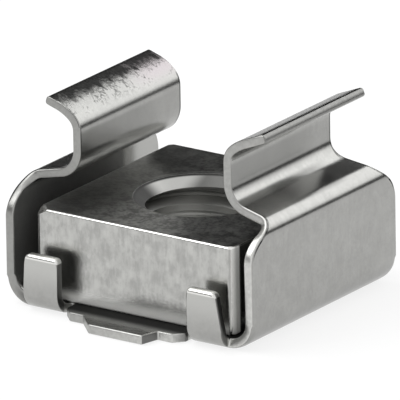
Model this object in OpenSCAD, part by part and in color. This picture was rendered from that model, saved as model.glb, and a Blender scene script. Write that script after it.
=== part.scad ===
// Rack cage nut: a square threaded nut held loosely in a folded spring-steel cage.
// The cage is one strip: base plate, two walls, two shoulders and two sprung legs
// whose flared lips snap in behind the edge of a square hole in a rack rail.
// Origin: the middle of the base plate's underside. +Z runs along the thread and
// out between the legs, the walls face +X and -X, and the corner tabs +Y and -Y.

/* [Square nut] */
// Width across the flats of the square nut
nut_w = 11; // [10:0.1:12]
// Thickness of the nut
nut_h = 4.3; // [3.5:0.05:5]
// Nominal thread diameter
thread_d = 6; // [5:0.5:6]
// Thread pitch, which is also what the thread's crests take off the nominal diameter
thread_pitch = 1; // [0.7:0.05:1]
// Diameter of the countersink at each end of the thread
countersink_d = 6.3; // [6.1:0.1:7]
// Depth of each countersink
countersink_depth = 0.45; // [0.3:0.05:0.6]
// Radius of the nut's upright corners
nut_corner_r = 0.2; // [0.1:0.05:0.5]
// Diameter of the flat top, outside which the four top corners are bevelled
crown_d = 14.4; // [13.6:0.1:15]
// Slope of those bevelled corners, in degrees
crown_slope = 35; // [20:1:45]

/* [Spring strip] */
// Thickness of the strip
sheet_t = 0.45; // [0.4:0.05:0.6]
// Gap between each side of the nut and the wall beside it
side_gap = 0.95; // [0.8:0.05:1.3]
// Gap between the nut's front or back and the tabs there
tab_gap = 0.6; // [0.35:0.05:0.7]
// Gap between the top of the nut and the shoulders
top_gap = 0.9; // [0.6:0.05:1.2]
// Gap between the nut's lower edges and the start of the bends around it
seat_gap = 0.05; // [0.02:0.01:0.15]
// How far the walls reach past the nut at the front and at the back
wall_over = 0.45; // [0.2:0.05:0.6]
// Outer radius of the bends between walls and shoulders
shoulder_bend_r = 0.85; // [0.7:0.05:1]

/* [Sprung legs] */
// Width of the square hole in the rack rail that the legs pass through
rail_hole = 9.5; // [9:0.1:10]
// Gap between the rail's hole and the outer face of each neck
neck_gap = 0.35; // [0.2:0.05:0.5]
// Gap between the rail's hole and the front and back edges of the legs
neck_end_gap = 0.65; // [0.4:0.05:1]
// Height of the straight grip between a shoulder and the start of its lip
grip = 2.25; // [1.8:0.05:3]
// Inner radius of the bend from shoulder up to neck
foot_bend_r = 1.2; // [0.8:0.05:1.3]
// Inner radius of the bend from neck out to lip
lip_bend_r = 0.45; // [0.4:0.05:0.8]
// Rise of the lips above the level, in degrees
lip_rise = 25; // [15:1:35]
// Straight length of the lip on the -X leg
left_lip = 1.45; // [1:0.05:2]
// Straight length of the lip on the +X leg
right_lip = 2; // [1:0.05:2]
// How far below a shoulder's top the cutting back of the wall's corners starts
cut_drop = 1.45; // [1:0.05:2]
// How far below a shoulder's top the cut meets the end of the leg
cut_end_drop = 0.2; // [0.1:0.05:0.4]
// How far the first, steep part of the cut goes inwards
cut_knee_in = 0.45; // [0.2:0.05:0.6]
// How far the first, steep part of the cut goes up
cut_knee_up = 0.5; // [0.3:0.05:0.7]

/* [Corner tabs] */
// Width of each tab at its foot
tab_w = 1.95; // [1.5:0.05:2.3]
// Width of the tabs on the -X side at their top
left_tab_top_w = 1.85; // [1.2:0.05:1.9]
// Width of the tabs on the +X side at their top
right_tab_top_w = 1.6; // [1.2:0.05:1.9]
// Height of the tabs above the underside of the base
tab_h = 2.8; // [2:0.1:3.4]
// Size of the small cut at each tab's outer top corner
tab_corner = 0.3; // [0.1:0.05:0.5]

/* [Base plate] */
// Gap all round between the screw and the hole that lets its end through the base
screw_gap = 0.5; // [0.3:0.05:0.8]
// Width of the slot beside each tab
slot_w = 0.25; // [0.15:0.05:0.4]
// How far the base's edge stands out past the faces of the tabs
edge_over = 0.1; // [0:0.05:0.3]
// Size of the slanted corner at each end of that edge
edge_slant = 0.5; // [0.3:0.05:0.6]
// Width of the shear tongue where it leaves the edge
tongue_w = 4.2; // [3.5:0.1:4.6]
// Width of the shear tongue at its tip
tongue_tip_w = 3; // [2:0.1:3.2]
// How far the tip lies off the middle, towards +X
tongue_off = 0.35; // [0:0.05:0.5]
// How far the tongue stands out from the edge
tongue_reach = 0.95; // [0.5:0.05:1.2]

/* [Hidden] */
$fn = 96;
// Overlap that lets a cut break cleanly through a face
cut = 1;
// Overlap that joins the slanted lips to their bends
weld = 0.01;
bore_d = thread_d - thread_pitch;
// The nut lies on the base plate, and the cage is bent around the nut
nut_z = sheet_t;
wall_x = nut_w / 2 + side_gap + sheet_t;
wall_y = nut_w / 2 + wall_over;
flat_x = nut_w / 2 + seat_gap;
flat_y = nut_w / 2 + seat_gap;
base_bend_r = wall_x - flat_x;
shoulder_z = nut_z + nut_h + top_gap + sheet_t;
// The legs are sized by the rail's square hole
neck_x = rail_hole / 2 - neck_gap;
neck_y = rail_hole / 2 - neck_end_gap;
neck_z = shoulder_z + foot_bend_r;
lip_z = shoulder_z + grip;
lip_turn = 90 - lip_rise;
top_z = lip_z + lip_bend_r + right_lip + sheet_t;
// The tabs stand in front of the nut and behind it, beside the base's edge
tab_y = nut_w / 2 + tab_gap + sheet_t;
tab_bend_r = tab_y - flat_y;
tab_x = flat_x - tab_w;
edge_x = tab_x - slot_w;
edge_y = tab_y + edge_over;

// A bend in the strip, as an arc of a ring from angle a0 to angle a1
module bend(outer_r, a0, a1) {
    reach = 2 * outer_r;
    mid = (a0 + a1) / 2;
    intersection() {
        difference() {
            circle(r = outer_r);
            circle(r = outer_r - sheet_t);
        }
        polygon([
            [0, 0],
            reach * [cos(a0), sin(a0)],
            reach * [cos(mid), sin(mid)],
            reach * [cos(a1), sin(a1)]
        ]);
    }
}

// Stands an outline drawn in X and Z on the X axis, with a length along Y
module along_y(len) {
    rotate([90, 0, 0])
        linear_extrude(len, center = true)
            children();
}

// One side of the cage in X and Z: base bend, wall, shoulder, neck and flared lip
module side_outline(lip_len) {
    translate([flat_x, base_bend_r])
        bend(base_bend_r, -90, 0);
    translate([wall_x - sheet_t, base_bend_r])
        square([sheet_t, shoulder_z - shoulder_bend_r - base_bend_r]);
    translate([wall_x - shoulder_bend_r, shoulder_z - shoulder_bend_r])
        bend(shoulder_bend_r, 0, 90);
    translate([neck_x + foot_bend_r, shoulder_z - sheet_t])
        square([wall_x - shoulder_bend_r - neck_x - foot_bend_r, sheet_t]);
    translate([neck_x + foot_bend_r, neck_z])
        bend(foot_bend_r + sheet_t, 180, 270);
    translate([neck_x - sheet_t, neck_z])
        square([sheet_t, lip_z - neck_z]);
    translate([neck_x + lip_bend_r, lip_z]) {
        bend(lip_bend_r + sheet_t, 180 - lip_turn, 180);
        rotate(lip_rise)
            translate([-weld, lip_bend_r])
                square([lip_len + weld, sheet_t]);
    }
}

// What is cut from both ends of the strip, in Y and Z, to narrow it to the legs
module corner_cuts() {
    start_z = shoulder_z - cut_drop;
    for (side = [0, 1])
        mirror([0, side, 0])
            rotate([90, 0, 90])
                linear_extrude(2 * wall_x + 2 * cut, center = true)
                    polygon([
                        [wall_y + cut, start_z],
                        [wall_y, start_z],
                        [wall_y - cut_knee_in, start_z + cut_knee_up],
                        [neck_y, shoulder_z - cut_end_drop],
                        [neck_y, top_z + cut],
                        [wall_y + cut, top_z + cut]
                    ]);
}

// Half of the base plate seen from above, out to the edge and the shear tongue
module base_half() {
    difference() {
        translate([-flat_x, 0])
            square([2 * flat_x, flat_y]);
        for (side = [-1, 1])
            translate([side * (tab_x - slot_w / 2), flat_y])
                circle(d = slot_w);
    }
    polygon([
        [-edge_x, 0],
        [-edge_x, edge_y - edge_slant],
        [-edge_x + edge_slant, edge_y],
        [-tongue_w / 2, edge_y],
        [tongue_off - tongue_tip_w / 2, edge_y + tongue_reach],
        [tongue_off + tongue_tip_w / 2, edge_y + tongue_reach],
        [tongue_w / 2, edge_y],
        [edge_x - edge_slant, edge_y],
        [edge_x, edge_y - edge_slant],
        [edge_x, 0]
    ]);
}

// The flat base plate with the hole that the screw's end passes through
module base_plate() {
    linear_extrude(sheet_t)
        difference() {
            for (side = [0, 1])
                mirror([0, side])
                    base_half();
            circle(d = thread_d + 2 * screw_gap);
        }
}

// One upturned tab, at the corner towards +X and +Y
module corner_tab(top_w) {
    translate([tab_x, flat_y, tab_bend_r])
        rotate([90, 0, 90])
            linear_extrude(tab_w)
                bend(tab_bend_r, -90, 0);
    translate([tab_x, tab_y, 0])
        rotate([90, 0, 0])
            linear_extrude(sheet_t)
                polygon([
                    [0, tab_bend_r],
                    [tab_w, tab_bend_r],
                    [top_w, tab_h - tab_corner],
                    [top_w - tab_corner, tab_h],
                    [0, tab_h]
                ]);
}

module spring_cage() {
    color([0.68, 0.68, 0.65]) {
        difference() {
            along_y(2 * wall_y) {
                side_outline(right_lip);
                mirror([1, 0])
                    side_outline(left_lip);
            }
            corner_cuts();
        }
        base_plate();
        for (y_side = [0, 1])
            mirror([0, y_side, 0]) {
                corner_tab(right_tab_top_w);
                mirror([1, 0, 0])
                    corner_tab(left_tab_top_w);
            }
    }
}

// Square with rounded corners, centred
module nut_outline() {
    inner = nut_w - 2 * nut_corner_r;
    square([nut_w, inner], center = true);
    square([inner, nut_w], center = true);
    for (x = [-1, 1], y = [-1, 1])
        translate([x * inner / 2, y * inner / 2])
            circle(r = nut_corner_r);
}

// Body of revolution whose sloping rim bevels the nut's top corners
module crown() {
    rim_r = nut_w;
    rim_drop = (rim_r - crown_d / 2) * tan(crown_slope);
    rotate_extrude()
        polygon([
            [0, -cut],
            [rim_r, -cut],
            [rim_r, nut_h - rim_drop],
            [crown_d / 2, nut_h],
            [0, nut_h]
        ]);
}

// Countersink at the nut's lower face, from the thread's crests out to its mouth
module countersink() {
    cylinder(d1 = countersink_d, d2 = bore_d, h = countersink_depth);
}

module square_nut() {
    color([0.60, 0.60, 0.57])
        translate([0, 0, nut_z])
            difference() {
                intersection() {
                    linear_extrude(nut_h)
                        nut_outline();
                    crown();
                }
                translate([0, 0, -cut])
                    cylinder(d = bore_d, h = nut_h + 2 * cut);
                countersink();
                translate([0, 0, nut_h])
                    mirror([0, 0, 1])
                        countersink();
            }
}

spring_cage();
square_nut();
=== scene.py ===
import math

import bmesh
import bpy
from mathutils import Matrix, Vector


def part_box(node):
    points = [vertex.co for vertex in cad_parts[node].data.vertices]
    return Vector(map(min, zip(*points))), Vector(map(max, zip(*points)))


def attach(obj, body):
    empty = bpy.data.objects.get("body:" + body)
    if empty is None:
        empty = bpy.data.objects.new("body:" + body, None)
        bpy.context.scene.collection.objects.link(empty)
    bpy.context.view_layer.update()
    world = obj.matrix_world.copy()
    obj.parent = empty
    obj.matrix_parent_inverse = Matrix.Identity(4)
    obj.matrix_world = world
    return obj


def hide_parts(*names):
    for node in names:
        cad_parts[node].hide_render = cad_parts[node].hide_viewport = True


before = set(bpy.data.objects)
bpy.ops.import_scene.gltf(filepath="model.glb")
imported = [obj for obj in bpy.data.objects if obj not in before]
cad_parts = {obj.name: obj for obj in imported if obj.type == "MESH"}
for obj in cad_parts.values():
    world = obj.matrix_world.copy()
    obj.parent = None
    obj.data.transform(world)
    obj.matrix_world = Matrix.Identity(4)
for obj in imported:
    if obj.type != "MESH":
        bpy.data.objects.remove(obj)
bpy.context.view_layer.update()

# ---------------------------------------------------------------------------
# Camera: a long lens, so the square nut keeps its edges parallel, from the
# front right and a little above, as small hardware is shown in a catalogue.
# ---------------------------------------------------------------------------
MM = 0.001
azimuth = math.radians(34.78)
elevation = math.radians(18.84)
roll = math.radians(-0.905)
camera_distance = 700
view_width = 18.54
aim_right = -0.10
aim_up = 4.303
aim_lift = -0.04
sensor_width = 36

back = Vector((
    math.sin(azimuth) * math.cos(elevation),
    -math.cos(azimuth) * math.cos(elevation),
    math.sin(elevation),
))
level_right = Vector((math.cos(azimuth), math.sin(azimuth), 0))
level_up = back.cross(level_right)
right = math.cos(roll) * level_right + math.sin(roll) * level_up
up = -math.sin(roll) * level_right + math.cos(roll) * level_up
aim = aim_right * right + aim_up * up + Vector((0, 0, aim_lift))

lens = bpy.data.cameras.new("camera")
lens.sensor_width = sensor_width
lens.lens = sensor_width * camera_distance / view_width
lens.clip_start = 0.05
lens.clip_end = 20
camera = bpy.data.objects.new("camera", lens)
bpy.context.scene.collection.objects.link(camera)
camera_turn = Matrix((right, up, back)).transposed().to_4x4()
camera.matrix_world = Matrix.Translation((aim + camera_distance * back) * MM) @ camera_turn
bpy.context.scene.camera = camera
bpy.context.scene.view_settings.view_transform = "Standard"

# ---------------------------------------------------------------------------
# Spring cage: one strip of zinc-plated spring steel. It is stamped flat with
# its hole, slots, tongues and tab blanks. The four tabs are bent up, and both
# sides are folded into walls, shoulders and sprung legs that end in lips.
# ---------------------------------------------------------------------------
cage_low, cage_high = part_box("spring_cage")
nut_low, nut_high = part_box("square_nut")
cage_low, cage_high, nut_low, nut_high = (
    corner / MM for corner in (cage_low, cage_high, nut_low, nut_high)
)
sheet_t = nut_low.z
wall_x = cage_high.x
wall_y = 5.95
seat_gap = 0.05
flat = nut_high.x + seat_gap
base_bend_r = wall_x - flat
wall_top_z = 5.25
shoulder_bend_r = 0.85
shelf_rise = math.radians(12)
foot_bend_r = 1
neck_y = 4.1
lip_z = 8.26
lip_bend_r = 0.65
lip_turn = 49
lip_sweep_r = 2
cut_start_z = 4.65
cut_knee = (5.5, 5.15)
cut_end_z = 5.9
cut_rounding = 0.4
cut_low_z = cut_start_z - cut_rounding
cut_rows = 8
cut_samples = 4
back_cut_squeeze = 0.8
slot_w = 0.25
tab_w = 1.95
tab_x = flat - tab_w
tab_y = 6.55
tab_h = 2.8
tab_top_widths = ((-1, 1.85), (1, 1.6))
tab_corners = (0.22, 0.26)
edge_x = tab_x - slot_w
edge_y = 6.65
edge_slant = 0.5
tongue_w = 4.2
tongue_tip_w = 3
tongue_off = 0.35
tongue_reach = cage_high.y - edge_y
base_hole_r = 3.5
coined_edge = 0.19
broken_edge = 0.08
bend_steps = 12
web_steps = 3
slot_steps = 7
side_steps = 9
hole_steps = 64
corner_steps = 5
edge_steps = 4
smooth_angle = math.radians(30)
flat_face_weight = 80
TINY = 1e-3


def start_piece(name):
    """Names the primitive that was just added, and opens it for editing."""
    piece = bpy.context.object
    piece.name = name
    piece.data.name = name
    bpy.ops.object.mode_set(mode="EDIT")
    return piece


def pick(piece, kind, wanted):
    """Selects the vertices, edges or faces whose middle passes the test, and no others."""
    bpy.ops.mesh.select_mode(type=kind)
    bpy.ops.mesh.select_all(action="DESELECT")
    mesh = bmesh.from_edit_mesh(piece.data)
    if kind == "VERT":
        for vertex in mesh.verts:
            vertex.select = wanted(vertex.co)
    elif kind == "EDGE":
        for edge in mesh.edges:
            if wanted((edge.verts[0].co + edge.verts[1].co) / 2):
                edge.select = True
    else:
        for face in mesh.faces:
            if wanted(face.calc_center_median()):
                face.select = True
    mesh.select_flush_mode()
    bmesh.update_edit_mesh(piece.data)


def near(a, b, slack=TINY):
    return abs(a - b) < slack


def extrude_edges(x, y, z):
    bpy.ops.mesh.extrude_edges_move(TRANSFORM_OT_translate={"value": (x, y, z)})


def stretch(x, y, z, about):
    bpy.ops.transform.resize(value=(x, y, z), center_override=about)


def fold(angle, centre, axis, steps=bend_steps):
    """Bends the strip's selected edge round a line, right-handed. Its new edge stays selected."""
    bpy.ops.mesh.spin(steps=steps, angle=-math.radians(angle), center=centre, axis=axis)


def finish_piece(piece):
    """Brings a piece from millimetres to metres and leaves its place in its mesh."""
    bpy.ops.object.select_all(action="DESELECT")
    piece.select_set(True)
    bpy.context.view_layer.objects.active = piece
    bpy.ops.transform.resize(value=(MM, MM, MM), center_override=(0, 0, 0))
    bpy.ops.object.transform_apply(location=True, rotation=True, scale=True)


def add_modifier(piece, kind, **settings):
    modifier = piece.modifiers.new(kind.lower(), kind)
    for key, value in settings.items():
        setattr(modifier, key, value)
    bpy.ops.object.modifier_apply(modifier=modifier.name)


def soften(piece):
    """Shades the bends and rounded edges smooth and keeps the flats flat."""
    bpy.ops.object.shade_smooth_by_angle(angle=smooth_angle)
    add_modifier(piece, "WEIGHTED_NORMAL", keep_sharp=True, weight=flat_face_weight)


# The blank's outline and hole, seen from above, filled as the flat base plate
bpy.ops.object.select_all(action="DESELECT")
bpy.ops.mesh.primitive_plane_add(size=2 * flat)
cage = start_piece("cage")
bpy.ops.mesh.delete(type="ONLY_FACE")
for x in (-tab_x, -edge_x, edge_x, tab_x):
    bpy.ops.mesh.select_all(action="SELECT")
    bpy.ops.mesh.bisect(plane_co=(x, 0, 0), plane_no=(1, 0, 0))
slot_centre = (tab_x + edge_x) / 2
pick(cage, "EDGE", lambda co: near(abs(co.x), slot_centre))
bpy.ops.mesh.subdivide(number_cuts=slot_steps)
for vertex in bmesh.from_edit_mesh(cage.data).verts:
    off_centre = abs(vertex.co.x) - slot_centre
    if abs(off_centre) < slot_w / 2:
        depth = math.sqrt(slot_w ** 2 / 4 - off_centre ** 2)
        vertex.co.y -= math.copysign(depth, vertex.co.y)
bmesh.update_edit_mesh(cage.data)
pick(cage, "EDGE", lambda co: near(abs(co.x), flat))
bpy.ops.mesh.subdivide(number_cuts=side_steps)
bpy.ops.mesh.primitive_circle_add(vertices=hole_steps, radius=base_hole_r)
bpy.ops.mesh.select_all(action="SELECT")
bpy.ops.mesh.fill(use_beauty=True)

# The base's edge between the tabs at the front and at the back, with its shear tongue
for end in (-1, 1):
    pick(cage, "EDGE", lambda co: near(co.y, end * flat) and near(co.x, 0))
    extrude_edges(0, end * (edge_y - edge_slant - flat), 0)
    extrude_edges(0, end * edge_slant, 0)
    stretch(1 - edge_slant / edge_x, 1, 1, (0, 0, 0))
    for x in (-tongue_w / 2, tongue_w / 2):
        pick(cage, "EDGE", lambda co: near(co.y, end * edge_y))
        bpy.ops.mesh.bisect(plane_co=(x, 0, 0), plane_no=(1, 0, 0))
    pick(cage, "EDGE", lambda co: near(co.y, end * edge_y) and near(co.x, 0))
    extrude_edges(tongue_off, end * tongue_reach, 0)
    stretch(tongue_tip_w / tongue_w, 1, 1, (tongue_off, 0, 0))

# Four corner tabs, each folded up from the base and then cut to shape
tab_bend_r = tab_y - flat
web_angle = math.degrees(math.asin((wall_y - flat) / tab_bend_r))
web_z = tab_bend_r * (1 - math.cos(math.radians(web_angle)))
for side, top_w in tab_top_widths:
    for end in (-1, 1):
        pick(cage, "EDGE", lambda co: near(co.y, end * flat) and side * co.x > tab_x)
        fold(end * web_angle, (0, end * flat, tab_bend_r), (1, 0, 0), web_steps)
        rest_of_bend = end * (90 - web_angle)
        fold(rest_of_bend, (0, end * flat, tab_bend_r), (1, 0, 0), bend_steps - web_steps)
        extrude_edges(0, 0, tab_h - tab_bend_r)
        stretch(top_w / tab_w, 1, 1, (side * tab_x, 0, 0))
        for corner_x, corner_r in zip((tab_x, tab_x + top_w), tab_corners):
            pick(cage, "VERT", lambda co: (
                near(co.x, side * corner_x) and near(co.z, tab_h) and end * co.y > 0
            ))
            bpy.ops.mesh.bevel(affect="VERTICES", offset=corner_r, segments=corner_steps)


def follow(side, route, x=flat, z=0, heading=0):
    """Folds the selected edge of the strip along a side view of straights and bends.

    A step is (0, length), or (turn, radius) with the turn in degrees, upwards from outwards.
    """
    heading = math.radians(heading)
    for turn, size in route:
        if turn == 0:
            x_step = size * math.cos(heading)
            z_step = size * math.sin(heading)
            extrude_edges(side * x_step, 0, z_step)
            x, z = x + x_step, z + z_step
            continue
        radius = math.copysign(size, turn)
        centre_x = x - radius * math.sin(heading)
        centre_z = z + radius * math.cos(heading)
        fold(-side * turn, (side * centre_x, 0, centre_z), (0, 1, 0))
        heading += math.radians(turn)
        x = centre_x + radius * math.sin(heading)
        z = centre_z - radius * math.cos(heading)


# Each side folded up from the base in one go, as the press does, from wall to lip. The two
# legs have sprung back a little differently: each row is a leg's side, how far out its neck
# stands, how steeply its lip ends in degrees, and the length of the lip's straight end
legs = ((-1, 4.3, 18, 0.66), (1, 4.55, 22, 1.3))
both_bends = shoulder_bend_r + foot_bend_r
shelf_turn = 90 - math.degrees(shelf_rise)
for side, neck_x, end_rise, lip_straight in legs:
    shelf_run = wall_x - neck_x - both_bends * (1 - math.sin(shelf_rise))
    shelf_length = shelf_run / math.cos(shelf_rise)
    foot_z = wall_top_z + both_bends * math.cos(shelf_rise) + shelf_length * math.sin(shelf_rise)
    pick(cage, "EDGE", lambda co: (
        near(co.x, side * flat) and abs(co.y) < wall_y and co.z < web_z
    ))
    follow(side, ((90, base_bend_r),))
    stretch(0, 1, 1, (side * wall_x, 0, 0))
    extrude_edges(0, 0, cut_low_z - base_bend_r)
    for _ in range(cut_rows):
        extrude_edges(0, 0, (wall_top_z - cut_low_z) / cut_rows)
    follow(side, (
        (shelf_turn, shoulder_bend_r),
        (0, shelf_length),
        (-shelf_turn, foot_bend_r),
        (0, lip_z - foot_z),
        (-lip_turn, lip_bend_r),
        (lip_turn - 90 + end_rise, lip_sweep_r),
        (0, lip_straight / 2),
        (0, lip_straight / 2),
    ), wall_x, wall_top_z, 90)


def cut_line(z):
    """Half the strip's width where two straight cuts take the wall's corners back to the legs."""
    if z < cut_start_z:
        return wall_y
    if z < cut_knee[1]:
        share = (z - cut_start_z) / (cut_knee[1] - cut_start_z)
        return wall_y + share * (cut_knee[0] - wall_y)
    share = min(1, (z - cut_knee[1]) / (cut_end_z - cut_knee[1]))
    return cut_knee[0] + share * (neck_y - cut_knee[0])


def leg_half_width(z):
    """The same with the corners between the cuts rounded."""
    steps = range(-cut_samples, cut_samples + 1)
    return sum(cut_line(z + step * cut_rounding / cut_samples) for step in steps) / len(steps)


# The walls' corners taken back to the legs. At the back the cut runs a little higher
mesh = bmesh.from_edit_mesh(cage.data)
for vertex in mesh.verts:
    if vertex.co.z > cut_low_z - TINY:
        squeeze = back_cut_squeeze if vertex.co.y > 0 else 1
        up_the_cut = (vertex.co.z - cut_low_z) * squeeze
        vertex.co.y *= leg_half_width(cut_low_z + up_the_cut) / wall_y
bmesh.update_edit_mesh(cage.data)
bpy.ops.object.mode_set(mode="OBJECT")


class Value:
    """A value in a finish's node tree, so that its maths reads as plain Python."""

    def __init__(self, finish, socket):
        self.finish = finish
        self.socket = socket

    def math(self, operation, first, second=0.0):
        return self.finish.node("ShaderNodeMath", {"operation": operation}, {0: first, 1: second})

    def __add__(self, other):
        return self.math("ADD", self, other)

    def __radd__(self, other):
        return self.math("ADD", other, self)

    def __sub__(self, other):
        return self.math("SUBTRACT", self, other)

    def __rsub__(self, other):
        return self.math("SUBTRACT", other, self)

    def __mul__(self, other):
        return self.math("MULTIPLY", self, other)

    def __rmul__(self, other):
        return self.math("MULTIPLY", other, self)

    def __truediv__(self, other):
        return self.math("DIVIDE", self, other)

    def __gt__(self, other):
        return self.math("GREATER_THAN", self, other)

    def __lt__(self, other):
        return self.math("LESS_THAN", self, other)

    def above(self, low, high):
        """Rises smoothly from 0 at low to 1 at high."""
        settings = {"interpolation_type": "SMOOTHSTEP"}
        inputs = {"Value": self, "From Min": low, "From Max": high}
        return self.finish.node("ShaderNodeMapRange", settings, inputs)

    def below(self, low, high):
        """Falls smoothly from 1 at low to 0 at high."""
        return 1 - self.above(low, high)

    def between(self, rise, fall):
        """Rises smoothly over the first pair of values and falls again over the second."""
        return self.above(*rise) * self.below(*fall)

    def absolute(self):
        return self.math("ABSOLUTE", self)

    def root(self):
        return self.math("SQRT", self)


class Finish:
    """A metal finish on a Principled shader, its patterns placed in the piece's own frame."""

    def __init__(self, name):
        self.material = bpy.data.materials.new(name)
        self.material.use_nodes = True
        self.tree = self.material.node_tree
        self.shader = self.tree.nodes["Principled BSDF"]
        self.place = self.node("ShaderNodeTexCoord", {}, {}, "Object")

    def node(self, kind, settings, inputs, output=0):
        node = self.tree.nodes.new(kind)
        for key, value in settings.items():
            setattr(node, key, value)
        for key, value in inputs.items():
            if isinstance(value, Value):
                self.tree.links.new(value.socket, node.inputs[key])
            else:
                node.inputs[key].default_value = value
        return Value(self, node.outputs[output])

    def axis(self, name):
        """X, Y or Z of the place on the piece, in millimetres."""
        return self.node("ShaderNodeSeparateXYZ", {}, {0: self.place}, name) / MM

    def facing(self, name):
        """X, Y or Z of the surface's normal."""
        normal = self.node("ShaderNodeTexCoord", {}, {}, "Normal")
        return self.node("ShaderNodeSeparateXYZ", {}, {0: normal}, name)

    def noise(self, per_mm, detail, roughness=0.5):
        """Noise with so many blotches to the millimetre along X, Y and Z, from 0 to 1."""
        scale = [each / MM for each in per_mm]
        stretched = self.node("ShaderNodeMapping", {}, {"Vector": self.place, "Scale": scale})
        inputs = {"Vector": stretched, "Scale": 1.0, "Detail": detail, "Roughness": roughness}
        return self.node("ShaderNodeTexNoise", {}, inputs)

    def mix(self, share, first, second):
        """A colour between two colours."""
        inputs = {"Factor": share, 6: first, 7: second}
        return self.node("ShaderNodeMix", {"data_type": "RGBA"}, inputs, 2)

    def bump(self, height, depth_mm):
        """A normal that follows a height of that many millimetres."""
        return self.node("ShaderNodeBump", {}, {"Height": height, "Distance": depth_mm * MM})

    def set(self, **sockets):
        """Sets or links the shader's own sockets."""
        for key, value in sockets.items():
            socket = self.shader.inputs[key.replace("_", " ").title()]
            if isinstance(value, Value):
                self.tree.links.new(value.socket, socket)
            else:
                socket.default_value = value


def grey(level, tint=(1.0, 1.0, 0.965)):
    """A steel grey of that level, a little yellow as zinc plate is."""
    return (level * tint[0], level * tint[1], level * tint[2], 1.0)


# Zinc-plated spring strip: smooth and faintly cloudy, with very weak rolling streaks
tab_coin_z = 2.56
above_tabs_z = 2.9
strip = Finish("zinc_plated_spring_strip")
strip_x = strip.axis("X")
strip_y = strip.axis("Y")
strip_z = strip.axis("Z")
streaks = strip.noise((0.6, 5, 0.6), detail=3)
clouds = strip.noise((1.2, 1.4, 1.2), detail=4, roughness=0.6)
grit = strip.noise((7, 8, 7), detail=3, roughness=0.65)
cloudy = (clouds * 0.5 + streaks * 0.15 + grit * 0.35).above(0.3, 0.7)
# The strip's own tone; the painted shade and light below are mixed into it
strip_tone = strip.mix(cloudy, grey(0.32), grey(0.385))

# The left lip: burnt dull and dark along its outer part, pitted, most of all in one patch, and
# a little pink towards its back
left_lip = strip_z.above(8.3, 8.6) * strip_x.below(-4.4, -3.9)
fringe = strip.noise((1.5, 3, 1.5), detail=5, roughness=0.75)
ragged = (fringe - 0.5) * 2.2 + (clouds - 0.5) * 1.5
burnt = left_lip * (strip_x + ragged).below(-5.2, -4.75)
patch = strip_y.between((-2.6, -1.6), (0.2, 1))
pits = (grit + patch * 0.05).above(0.52, 0.58) * (clouds + patch * 0.06).above(0.48, 0.56)
pits = left_lip * pits
blush = left_lip * strip_y.above(0, 3)
strip_tone = strip.mix(blush, strip_tone, grey(0.37, tint=(1, 0.93, 0.95)))

# Painted shade on the necks, most at their front, and in the middle of the shelves below them
neck_shade = strip_z.between((6.6, 7), (8.1, 8.35))
strip_tone = strip.mix(neck_shade * (0.6 - strip_y.above(0.5, 3.5) * 0.4), strip_tone, grey(0.2))
shelf = strip_z.between((5.9, 6.05), (6.4, 6.6))
shelf_shade = shelf * strip_y.between((-2.4, -1), (1.6, 3))
strip_tone = strip.mix(shelf_shade * 0.55, strip_tone, grey(0.12))
strip_tone = strip.mix(pits * 0.7, strip_tone, grey(0.08))
strip_tone = strip.mix(burnt * (0.72 + grit * 0.4), strip_tone, grey(0.02))

# Painted shade round the base bends. Tabs painted lighter as lit, with a painted highlight on
# their tops
base_bend_shade = strip_x.absolute().above(6.3, 6.6) * strip_z.below(0.3, 1.3)
strip_tone = strip.mix(base_bend_shade * 0.45, strip_tone, grey(0.15))
lit_tab_face = strip_y.absolute().above(6.3, 6.4) * strip_z.above(0.6, 2.4)
strip_tone = strip.mix(lit_tab_face, strip_tone, grey(0.48))
tab_top_highlight = lit_tab_face.above(0.9, 1) * strip_z.above(tab_coin_z, tab_coin_z + 0.06)
tab_top_highlight = tab_top_highlight * (strip_z < above_tabs_z)
strip_tone = strip.mix(tab_top_highlight, strip_tone, grey(0.78))

# Painted shade inside the walls, painted lighter as lit at their back ends, and a thin painted
# dark line of shade down the back ends of the necks
inside = (strip_x * strip.facing("X")).below(-6, -5.2)
lit_back_end = strip_y.above(2.9, 3.3)
strip_tone = strip.mix(inside * 0.6, strip_tone, strip.mix(lit_back_end, grey(0.1), grey(0.42)))
neck_end_shade = strip_y.above(3.92, 3.98) * strip_z.between((6.2, 6.5), (8.8, 9))
strip_tone = strip.mix(neck_end_shade * 0.8, strip_tone, grey(0.05))

# Painted shadow on the base beside the nut, made rough there as well
near_nut = (strip_z < 0.6) * strip_y.absolute().below(6.1, 7.05)
shadow_beside_nut = near_nut * strip.facing("Z").above(0.5, 0.9)
strip.set(
    base_color=strip.mix(shadow_beside_nut, strip_tone, grey(0.025)),
    metallic=1 - inside * (1 - lit_back_end) * 0.4,
    roughness=0.2 + clouds * 0.05 + burnt * 0.2 + pits * 0.1 + shadow_beside_nut * 0.55,
    normal=strip.bump(grit * (0.5 + left_lip * 2), 0.003),
)
cage.data.materials.append(strip.material)

# The sheared edges: burnished by the die, most on the right and least above the walls, torn
# all over in fine specks, dark at the lips' ends, dark down the tabs' sides partly as painted
# shade, and painted bright as a highlight on tab tops
sheared = Finish("sheared_strip_edge")
rim_x = sheared.axis("X")
rim_y = sheared.axis("Y")
rim_z = sheared.axis("Z")
sideways = sheared.facing("X").absolute()
tears = sheared.noise((6, 6, 6), detail=4, roughness=0.6)
burnished = rim_x.above(-6.5, 6.5) * (1 - rim_z.above(5.3, 6.2) * 0.7)
cut_tone = sheared.mix(burnished, grey(0.33), grey(0.62))
cut_tone = sheared.mix(tears.above(0.3, 0.7) * 0.25, cut_tone, grey(0.2))
lip_end = sideways.above(0.3, 0.5) * (rim_z > 8.5)
cut_tone = sheared.mix(lip_end * (0.85 - rim_x.above(-5, 5) * 0.4), cut_tone, grey(0.03))
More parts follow.
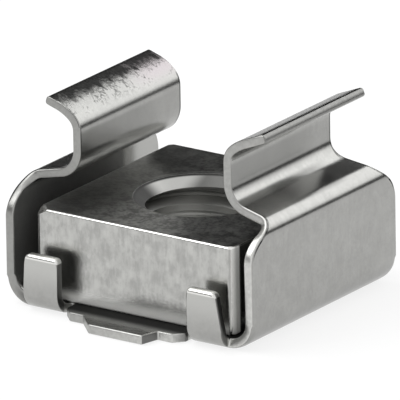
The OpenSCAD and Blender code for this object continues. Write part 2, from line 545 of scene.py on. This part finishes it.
# The tabs' sides are dark, partly as torn metal and partly as painted shade
tab_side = sideways.above(0.6, 0.8) * (rim_y.absolute() > 6)
cut_tone = sheared.mix(tab_side, cut_tone, grey(0.15))
# Painted highlight on the sheared edges of the tab tops
tab_end_highlight = (rim_z > tab_coin_z) * (rim_z < above_tabs_z) * (rim_y.absolute() > 6)
sheared.set(
    base_color=sheared.mix(tab_end_highlight, cut_tone, grey(0.68)),
    metallic=1.0,
    roughness=0.28 + tears * 0.15,
    normal=sheared.bump(tears, 0.005),
)
cage.data.materials.append(sheared.material)

# The sheet gets its thickness and its sheared edges are broken. The outer edges of the tabs'
# tops and of the cuts at the walls' corners, and the lips' end edges, are coined rounder
coined_lip_z = lip_z + 0.4
front_cut_top_z = cut_end_z + 0.1
back_cut_top_z = cut_end_z + 0.5
least_edge_angle = math.radians(40)
bpy.ops.object.mode_set(mode="EDIT")
bpy.ops.mesh.select_all(action="SELECT")
bpy.ops.mesh.normals_make_consistent(inside=False)
if bmesh.from_edit_mesh(cage.data).faces[0].normal.z > 0:
    bpy.ops.mesh.flip_normals()
bpy.ops.object.mode_set(mode="OBJECT")
skin_size = len(cage.data.vertices)
add_modifier(
    cage, "SOLIDIFY", thickness=sheet_t, offset=-1, use_even_offset=True, use_quality_normals=True,
    material_offset_rim=1,
)
weights = cage.data.attributes.new("bevel_weight_edge", "FLOAT", "EDGE")
mesh = bmesh.new()
mesh.from_mesh(cage.data)
mesh.edges.ensure_lookup_table()
for edge in mesh.edges:
    if edge.calc_face_angle() < least_edge_angle:
        continue
    middle = (edge.verts[0].co + edge.verts[1].co) / 2
    outside = max(vertex.index for vertex in edge.verts) < skin_size
    on_tab = abs(middle.y) > flat + sheet_t and tab_h - tab_corners[1] < middle.z < tab_h + TINY
    on_lip_end = middle.z > coined_lip_z and near(edge.verts[0].co.x, edge.verts[1].co.x)
    on_cut = cut_start_z < middle.z < (back_cut_top_z if middle.y > 0 else front_cut_top_z)
    coined = (outside and (on_tab or on_cut)) or on_lip_end
    weights.data[edge.index].value = (coined_edge if coined else broken_edge) / coined_edge
mesh.free()
add_modifier(
    cage, "BEVEL", width=coined_edge, segments=edge_steps, limit_method="WEIGHT",
    use_clamp_overlap=False,
)
cage.data.attributes.remove(cage.data.attributes["bevel_weight_edge"])
finish_piece(cage)
soften(cage)
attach(cage, "root")
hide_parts("spring_cage")

# ---------------------------------------------------------------------------
# Square nut: cold-drawn square steel bar, cut to length, drilled and tapped
# M6, countersunk at both ends, its top corners bevelled, and zinc-plated. It
# lies loose on the base of the cage, between the walls and the four tabs.
# ---------------------------------------------------------------------------
nut_w = nut_high.x - nut_low.x
nut_h = nut_high.z - nut_low.z
nut_corner_r = 0.35
nut_edge_r = 0.13
thread_crest_r = 2.5
thread_root_r = 3.0
thread_pitch = 1
thread_root_w = thread_pitch / 8
thread_flank = math.radians(30)
countersink_r = 3.15
countersink_depth = 0.45
countersink_foot_z = nut_high.z - countersink_depth
tool_overshoot = 0.05
tool_mouth_r = countersink_r + 0.07
tap_overlap = 0.1
half_plane = 0.5
crown_r = 7.5
struck_crown_r = 7.25
crown_slope = math.radians(35)
nut_bevel_steps = 5
bore_steps = 96


def close_tool():
    """Turns the faces of the tool being edited outwards and leaves edit mode."""
    bpy.ops.mesh.select_all(action="SELECT")
    bpy.ops.mesh.normals_make_consistent(inside=False)
    bpy.ops.object.mode_set(mode="OBJECT")


def cut_away(body, tool):
    """Cuts the tool's shape out of the body and throws the tool away."""
    bpy.context.view_layer.objects.active = body
    add_modifier(body, "BOOLEAN", operation="DIFFERENCE", solver="EXACT", object=tool)
    bpy.data.objects.remove(tool)


# The bar with its upright corners rounded and its top corners bevelled, the front left one
# a little further in than the others
bpy.ops.object.select_all(action="DESELECT")
bpy.ops.mesh.primitive_cube_add(size=1, location=(0, 0, 0))
nut = start_piece("nut")
bpy.ops.transform.resize(value=(nut_w, nut_w, nut_h), center_override=(0, 0, 0))
bpy.ops.transform.translate(value=(0, 0, nut_low.z + nut_h / 2))
pick(nut, "EDGE", lambda co: near(abs(co.x), nut_w / 2) and near(abs(co.y), nut_w / 2))
bpy.ops.mesh.bevel(offset=nut_corner_r, segments=nut_bevel_steps)
pick(nut, "EDGE", lambda co: near(co.z, nut_low.z) or near(co.z, nut_high.z))
bpy.ops.mesh.bevel(offset=nut_edge_r, segments=nut_bevel_steps)
outwards = math.sin(crown_slope)
upwards = math.sqrt(2) * math.cos(crown_slope)
for x in (-1, 1):
    for y in (-1, 1):
        struck = x < 0 and y < 0
        crown_edge = (struck_crown_r if struck else crown_r) / math.sqrt(2)
        bpy.ops.mesh.select_all(action="SELECT")
        bpy.ops.mesh.bisect(
            plane_co=(x * crown_edge, y * crown_edge, nut_high.z),
            plane_no=(x * outwards, y * outwards, upwards),
            use_fill=True, clear_outer=True,
        )
bpy.ops.object.mode_set(mode="OBJECT")

# The drill and the two countersinks, as one turned tool
profile = (
    (tool_mouth_r, nut_high.z + tool_overshoot),
    (thread_crest_r, countersink_foot_z),
    (thread_crest_r, nut_low.z + countersink_depth),
    (tool_mouth_r, nut_low.z - tool_overshoot),
)
bpy.ops.mesh.primitive_circle_add(vertices=bore_steps, radius=1, fill_type="NGON")
drill = start_piece("drill")
bpy.ops.mesh.select_all(action="SELECT")
first_r, first_z = profile[0]
stretch(first_r, first_r, 1, (0, 0, 0))
bpy.ops.transform.translate(value=(0, 0, first_z))
for (old_r, old_z), (new_r, new_z) in zip(profile, profile[1:]):
    bpy.ops.mesh.extrude_region_move(TRANSFORM_OT_translate={"value": (0, 0, new_z - old_z)})
    stretch(new_r / old_r, new_r / old_r, 1, (0, 0, 0))
close_tool()
cut_away(nut, drill)

# The tap: one V-shaped groove wound up the bore, right-handed
tap_turns = math.ceil(nut_h / thread_pitch) + 2
tap_start_z = nut_low.z - thread_pitch
inner_r = thread_crest_r - tap_overlap
inner_w = thread_root_w + 2 * (thread_root_r - inner_r) * math.tan(thread_flank)
bpy.ops.mesh.primitive_plane_add(size=2 * half_plane, rotation=(math.pi / 2, 0, 0))
bpy.ops.object.transform_apply(location=True, rotation=True, scale=True)
tap = start_piece("tap")
bpy.ops.mesh.delete(type="ONLY_FACE")
pick(tap, "VERT", lambda co: co.x > 0)
bpy.ops.transform.translate(value=(thread_root_r - half_plane, 0, 0))
stretch(1, 1, thread_root_w, (0, 0, 0))
pick(tap, "VERT", lambda co: co.x < 0)
bpy.ops.transform.translate(value=(inner_r + half_plane, 0, 0))
stretch(1, 1, inner_w, (0, 0, 0))
bpy.ops.mesh.select_all(action="SELECT")
bpy.ops.transform.translate(value=(0, 0, tap_start_z))
bpy.ops.object.mode_set(mode="OBJECT")
add_modifier(
    tap, "SCREW", steps=bore_steps, render_steps=bore_steps, iterations=tap_turns,
    screw_offset=thread_pitch, angle=2 * math.pi,
)
bpy.ops.object.mode_set(mode="EDIT")
for z in (tap_start_z, tap_start_z + tap_turns * thread_pitch):
    pick(tap, "EDGE", lambda co: near(co.y, 0) and abs(co.z - z) < inner_w and co.x > 0)
    bpy.ops.mesh.edge_face_add()
close_tool()
cut_away(nut, tap)

finish_piece(nut)
soften(nut)
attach(nut, "root")
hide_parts("square_nut")

# Drawn and plated bar: faintly mottled, with a few short upright scratches, and its edges
# painted light as a highlight
bar = Finish("zinc_plated_drawn_bar")
bar_x = bar.axis("X")
bar_y = bar.axis("Y")
bar_z = bar.axis("Z")
scratches = bar.noise((7, 7, 1.6), detail=4, roughness=0.6)
mottle = bar.noise((1.3, 1.3, 1.3), detail=5, roughness=0.65)
grain = bar.noise((6, 6, 6), detail=3, roughness=0.6)
upward = bar.facing("Z")
facing_right = bar.facing("X")
facing_side = facing_right.absolute()
from_axis = (bar_x * bar_x + bar_y * bar_y).root()
turned = from_axis.below(countersink_r - 0.015, countersink_r + 0.015)
# Painted highlight along the edges that lean between the sides and the top
edge_highlight = upward.between((0.15, 0.4), (0.8, 0.95)) * (1 - turned)

# Its sides: painted shade on the right one and a painted dark line down each upright corner.
# At the ends of the left and right sides and along the foot of the front and the back they are
# painted light and matt, hardly a metal, as a painted reflection
by_corner = bar_y.absolute().above(4.8, 4.95)
right_side_shade = facing_right.above(0.85, 0.95) * (1 - by_corner)
corner = facing_side.above(0.6, 0.8) * by_corner
corner_dark_line = facing_side.between((0.35, 0.5), (0.55, 0.7))
foot_light_band = bar_z.below(0.7, 1.3) * facing_side.below(0.3, 0.5)
matt_painted_light = (corner + foot_light_band * 0.8) * (1 - turned)
side_tone = (scratches * 0.35 + mottle * 0.65).above(0.35, 0.65)
side_tone = bar.mix(side_tone, grey(0.36), grey(0.52))
side_tone = bar.mix(right_side_shade * 0.8 + corner_dark_line * 0.7, side_tone, grey(0.32))
side_tone = bar.mix(foot_light_band, side_tone, grey(0.72))
side_tone = bar.mix(corner, side_tone, grey(0.9))

# Its sawn top: dark and mottled, lighter on the left, with a painted highlight on the burr behind
# the hole
sawn = upward.above(0.75, 0.9) * (1 - turned)
burr_highlight = from_axis.between((3.2, 3.3), (3.4, 3.5)) * bar_y.above(0, 1.5)
top_tone = bar.mix((mottle * 0.5 + grain * 0.5).above(0.4, 0.6), grey(0.13), grey(0.36))
top_tone = bar.mix(0.45 - bar_x.above(-5, -1) * 0.45, top_tone, grey(0.42))
top_tone = bar.mix(burr_highlight * 0.5, top_tone, grey(0.6))

# Its countersink, with a painted highlight at the back left, dull elsewhere and with a painted
# dark line of shade at its rim, and its bore, painted lighter on the left and painted darker
# as shade near the top
countersink_highlight = bar_y.above(-0.5, 1) * (1 - bar_x.above(-2.2, -1.4) * 0.8)
tapped = bar_z.below(countersink_foot_z - 0.1, countersink_foot_z)
dulled = turned * (1 - countersink_highlight) * (1 - tapped)
turned_tone = bar.mix(countersink_highlight, grey(0.06), grey(0.48))
turned_tone = bar.mix(from_axis.above(3.0, 3.08), turned_tone, grey(0.04))
bore_tone = bar.mix(bar_x.above(-2.2, -1), grey(0.6), grey(0.38))
bore_tone = bar.mix(bar_z.above(3.7, 4), bore_tone, grey(0.2))
turned_tone = bar.mix(tapped, turned_tone, bore_tone)
face_tone = bar.mix(sawn, bar.mix(turned, side_tone, turned_tone), top_tone)
bar.set(
    base_color=bar.mix(edge_highlight, face_tone, grey(0.8)),
    metallic=1.0 - matt_painted_light,
    roughness=0.2 + turned * 0.05 + sawn * 0.1 + dulled * 0.3 + mottle * 0.08,
    normal=bar.bump(scratches * 0.4 * (1 - sawn) + grain, 0.006),
)
nut.data.materials.append(bar.material)

# ---------------------------------------------------------------------------
# Studio: a pale table and a white surround, one large soft light at the front
# left and one behind on the right, and dark cards that give the steel its
# edges. The cards show only in reflections.
# ---------------------------------------------------------------------------
span = (cage_high - cage_low).length * MM
object_middle = Vector((0, 0, 5)) * MM
table_z = -0.02 * MM
table_w = 60 * span
softbox_away = 6
surround_strength = 1.0
surround_light = 0.6


def paint(name, colour, strength, glow):
    """A matt colour mixed with a white glow, by the share given as glow."""
    made = bpy.data.materials.new(name)
    made.use_nodes = True
    nodes = made.node_tree.nodes
    links = made.node_tree.links
    nodes.clear()
    output = nodes.new("ShaderNodeOutputMaterial")
    matt = nodes.new("ShaderNodeBsdfDiffuse")
    matt.inputs["Color"].default_value = colour
    light = nodes.new("ShaderNodeEmission")
    light.inputs["Strength"].default_value = strength
    mix = nodes.new("ShaderNodeMixShader")
    mix.inputs[0].default_value = glow
    links.new(matt.outputs[0], mix.inputs[1])
    links.new(light.outputs[0], mix.inputs[2])
    links.new(mix.outputs[0], output.inputs["Surface"])
    return made


def card(name, middle, width, height, facing):
    """A flat card with that middle, turned to face that place."""
    bpy.ops.object.select_all(action="DESELECT")
    bpy.ops.mesh.primitive_plane_add(size=1)
    board = bpy.context.object
    board.name = name
    towards = (Vector(facing) - Vector(middle)).normalized()
    board.matrix_world = (
        Matrix.Translation(middle) @ towards.to_track_quat("Z", "Y").to_matrix().to_4x4()
        @ Matrix.Diagonal((width, height, 1, 1))
    )
    return board


floor = card("table", (0, 0, table_z), table_w, table_w, (0, 0, 1))
floor.data.materials.append(paint("pale_table", (0.85, 0.85, 0.85, 1), 1.12, 0.7))

# The surround: full white to the camera and in reflections, and weaker as a light
world = bpy.data.worlds.new("surround")
bpy.context.scene.world = world
world.use_nodes = True
world_nodes = world.node_tree.nodes
world_links = world.node_tree.links
path = world_nodes.new("ShaderNodeLightPath")
seen = path.outputs["Is Camera Ray"]
for kind in ("Is Glossy Ray", "Is Transmission Ray"):
    either = world_nodes.new("ShaderNodeMath")
    either.operation = "MAXIMUM"
    world_links.new(seen, either.inputs[0])
    world_links.new(path.outputs[kind], either.inputs[1])
    seen = either.outputs[0]
strength = world_nodes.new("ShaderNodeMapRange")
strength.inputs["To Min"].default_value = surround_light
strength.inputs["To Max"].default_value = surround_strength
world_links.new(seen, strength.inputs["Value"])
world_links.new(strength.outputs[0], world_nodes["Background"].inputs["Strength"])
world_nodes["Background"].inputs["Color"].default_value = (1, 1, 1, 1)

black = paint("dark_card", (0.02, 0.02, 0.02, 1), 0.0, 0.0)


def from_object(bearing, rise, away):
    """A place so many spans from the object, by its compass bearing and its rise in degrees."""
    bearing = math.radians(bearing)
    rise = math.radians(rise)
    level = math.cos(rise)
    direction = Vector((math.sin(bearing) * level, math.cos(bearing) * level, math.sin(rise)))
    return object_middle + direction * away * span


def flag(name, bearing, rise, away, width, height):
    """A dark card, sized and placed in spans, that shows only in reflections."""
    place = from_object(bearing, rise, away)
    board = card(name, place, width * span, height * span, object_middle)
    board.data.materials.append(black)
    board.visible_camera = False
    board.visible_diffuse = False
    board.visible_shadow = False


flag("dark_card_back_left", -57, 21, 4, 7, 4.2)
flag("dark_card_front_left", -148, 15, 4, 4, 1.3)
flag("dark_card_back_right", 40, 0, 2.7, 3.8, 0.56)


def softbox(name, bearing, rise, width, height, radiance):
    """A soft light, sized in spans, that looks so bright in reflections."""
    light = bpy.data.lights.new(name, "AREA")
    light.shape = "RECTANGLE"
    light.size = width * span
    light.size_y = height * span
    light.energy = radiance * math.pi * light.size * light.size_y
    source = bpy.data.objects.new(name, light)
    bpy.context.scene.collection.objects.link(source)
    place = from_object(bearing, rise, softbox_away)
    turn = (place - object_middle).to_track_quat("Z", "Y").to_matrix().to_4x4()
    source.matrix_world = Matrix.Translation(place) @ turn


softbox("front_left", -125, 56, 6, 5, 2.2)
softbox("back_right", 14, 28, 6, 4, 1.1)
